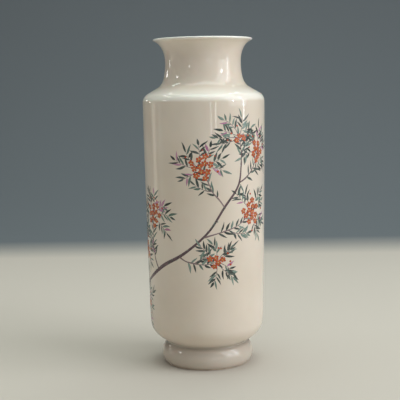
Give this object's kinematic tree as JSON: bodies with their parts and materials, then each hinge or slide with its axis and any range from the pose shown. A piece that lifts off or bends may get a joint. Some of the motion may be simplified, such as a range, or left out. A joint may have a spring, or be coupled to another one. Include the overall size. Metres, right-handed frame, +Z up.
{
  "type": "rouleau vase",
  "caption": "Tall cylindrical porcelain vase with a flared lip, waisted neck, sloping shoulder, rounded heel and bulging foot ring, for cut branches or display.",
  "frame": {"origin": "centre of the foot on the surface that the vase stands on", "axes": "+Z up along the vase's axis of revolution; the decorated front faces -Y"},
  "size_m": [0.1308, 0.1308, 0.35],
  "materials": {
    "porcelain": "bare high-fired porcelain, smooth and matte",
    "slip": "fired porcelain slip in the seams, hidden under the glaze",
    "glaze": "clear glossy glaze over ivory-white porcelain"
  },
  "bodies": {
    "root": {"foot": "porcelain", "foot_slip": "slip", "lower_body": "porcelain", "body_slip": "slip", "upper_body": "porcelain", "neck_slip": "slip", "neck": "porcelain", "outer_glaze": "glaze", "inner_glaze": "glaze", "base_glaze": "glaze"}
  },
  "joints": []
}
